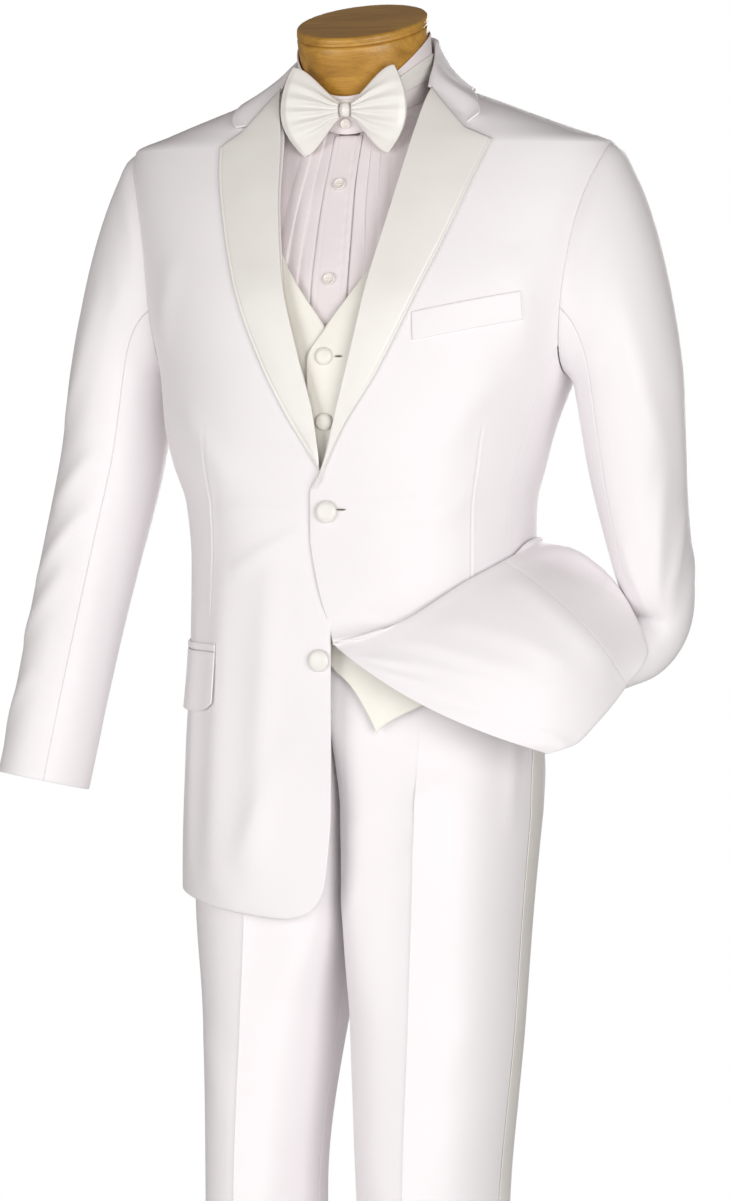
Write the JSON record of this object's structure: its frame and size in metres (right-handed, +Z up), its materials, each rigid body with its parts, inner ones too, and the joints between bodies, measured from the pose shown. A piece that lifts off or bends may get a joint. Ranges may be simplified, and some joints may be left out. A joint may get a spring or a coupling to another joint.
{
  "type": "tuxedo on a dress form",
  "caption": "White dinner suit with satin lapels, waistcoat, pleated shirt, bow tie and striped trousers on a limbless dress form with a stand.",
  "frame": {"origin": "on the floor, at the middle of the underside of the stand's base", "axes": "+Z up, the suit faces -Y, +X is the wearer's left"},
  "size_m": [0.6695, 0.41, 1.5764],
  "materials": {
    "suit_cloth": "matte white suiting, fine twill",
    "white_satin": "soft white satin with a low sheen",
    "waistcoat_satin": "ivory satin",
    "shirt_cotton": "matte cotton poplin, faint cool pink",
    "shirt_button": "pearly polish",
    "form_wood": "clear satin varnish on a light wood",
    "form_cloth": "jersey stretched over a moulded shell",
    "stand_steel": "brushed"
  },
  "bodies": {
    "root": {"form_torso": "form_cloth", "form_neck_block": "form_wood", "form_neck_cap": "form_wood", "form_socket": "stand_steel", "form_pole": "stand_steel", "form_base": "stand_steel", "shirt_front_right": "shirt_cotton", "shirt_front_left": "shirt_cotton", "shirt_back": "shirt_cotton", "shirt_placket": "shirt_cotton", "shirt_collar_band": "shirt_cotton", "shirt_button_1": "shirt_button", "shirt_button_2": "shirt_button", "shirt_button_3": "shirt_button", "waistcoat_front_right": "waistcoat_satin", "waistcoat_front_left": "waistcoat_satin", "waistcoat_back": "waistcoat_satin", "waistcoat_button_1": "waistcoat_satin", "waistcoat_button_2": "waistcoat_satin", "waistcoat_button_3": "waistcoat_satin", "waistcoat_button_4": "waistcoat_satin", "waistcoat_button_5": "waistcoat_satin", "trouser_front_right": "suit_cloth", "trouser_back_right": "suit_cloth", "trouser_stripe_right": "white_satin", "trouser_front_left": "suit_cloth", "trouser_back_left": "suit_cloth", "trouser_stripe_left": "white_satin", "trouser_waistband": "suit_cloth", "jacket_front_right": "suit_cloth", "jacket_side_right": "suit_cloth", "jacket_back_right": "suit_cloth", "jacket_back_left": "suit_cloth", "jacket_front_left": "suit_cloth", "jacket_side_left": "suit_cloth", "jacket_top_sleeve_right": "suit_cloth", "jacket_under_sleeve_right": "suit_cloth", "jacket_top_sleeve_left": "suit_cloth", "jacket_under_sleeve_left": "suit_cloth", "jacket_lapel_left": "white_satin", "jacket_lapel_right": "white_satin", "jacket_collar": "suit_cloth", "breast_pocket_welt": "suit_cloth", "hip_pocket_welt": "suit_cloth", "hip_pocket_flap": "suit_cloth", "jacket_button_top": "white_satin", "jacket_button_lower": "white_satin", "bow_wing_right": "white_satin", "bow_wing_left": "white_satin", "bow_knot": "white_satin", "bow_strap": "white_satin"}
  },
  "joints": []
}
